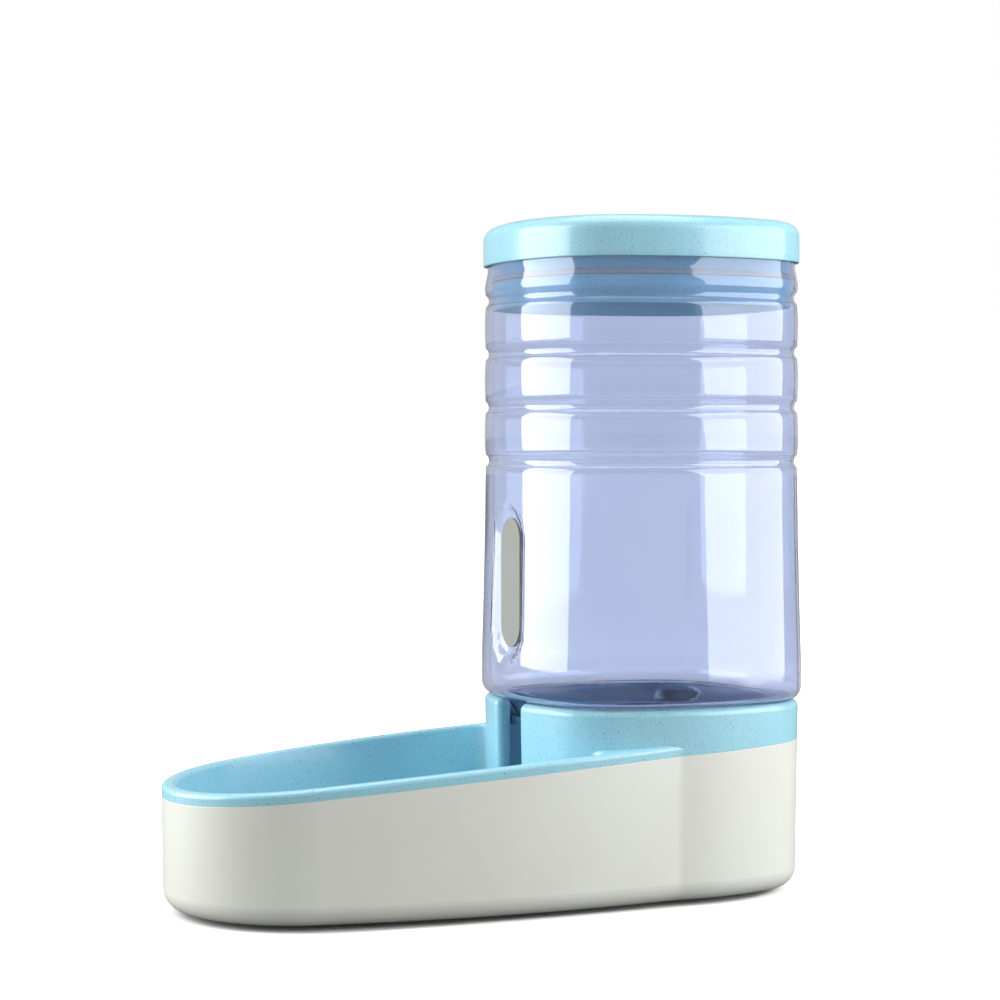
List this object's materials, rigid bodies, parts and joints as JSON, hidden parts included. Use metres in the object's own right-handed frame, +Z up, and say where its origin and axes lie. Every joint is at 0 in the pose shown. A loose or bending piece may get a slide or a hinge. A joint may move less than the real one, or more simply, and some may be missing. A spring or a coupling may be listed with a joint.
{
  "type": "pet water dispenser",
  "caption": "Gravity pet water dispenser: clear round-square bottle with a valve cap stands in the collar of a low base with an open drinking bowl in front",
  "frame": {"origin": "on the ground under the middle of the bounding box", "axes": "+Z up, -Y towards the front of the drinking bowl, +Y towards the bottle, X across the width"},
  "size_m": [0.1442, 0.3032, 0.3128],
  "materials": {
    "shell_ivory": "satin ivory plastic",
    "tray_blue": "light blue plastic with fine dark speckles",
    "lid_blue": "light blue plastic with fine dark speckles",
    "clear_plastic": "clear bluish plastic",
    "plate_grey": "satin greenish grey",
    "cap_white": "satin white plastic",
    "valve_white": "satin white plastic",
    "seal_rubber": "soft grey silicone",
    "foot_rubber": "dark matte rubber",
    "spring_steel": "bright spring wire"
  },
  "bodies": {
    "base": {"outer_shell": "shell_ivory", "inner_tray": "tray_blue", "foot_1": "foot_rubber", "foot_2": "foot_rubber", "foot_3": "foot_rubber", "foot_4": "foot_rubber"},
    "bottle": {"bottle": "clear_plastic", "label_plate": "plate_grey"},
    "lid": {"bottle_lid": "lid_blue", "lid_seal": "seal_rubber"},
    "cap_ring": {"cap_seal": "seal_rubber"},
    "cap": {"valve_cap": "cap_white", "spring_cage": "valve_white"},
    "plunger": {"valve_plunger": "valve_white", "plunger_seal": "seal_rubber", "valve_spring": "spring_steel"}
  },
  "joints": [
    {"name": "bottle_lift", "type": "slide", "parent": "base", "child": "bottle", "axis": [0, 0, 1], "range_m": [0, 0.0785]},
    {"name": "lid_lift", "type": "slide", "parent": "bottle", "child": "lid", "axis": [0, 0, 1], "range_m": [0, 0.028]},
    {"name": "cap_travel", "type": "slide", "parent": "bottle", "child": "cap_ring", "axis": [0, 0, -1], "range_m": [0, 0.004]},
    {"name": "cap_unscrew", "type": "hinge", "parent": "cap_ring", "child": "cap", "pos_m": [0, 0.08076, 0.0435], "axis": [0, 0, -1], "range_deg": [0, 360]},
    {"name": "valve_plunge", "type": "slide", "parent": "bottle", "child": "plunger", "axis": [0, 0, -1], "range_m": [0, 0.004], "deforming": ["valve_spring"]}
  ],
  "couplings": [
    {"joint": "cap_travel", "follows": "cap_unscrew", "m_per_rad": 0.000636},
    {"joint": "valve_plunge", "follows": "bottle_lift", "ratio": 0.05095}
  ]
}
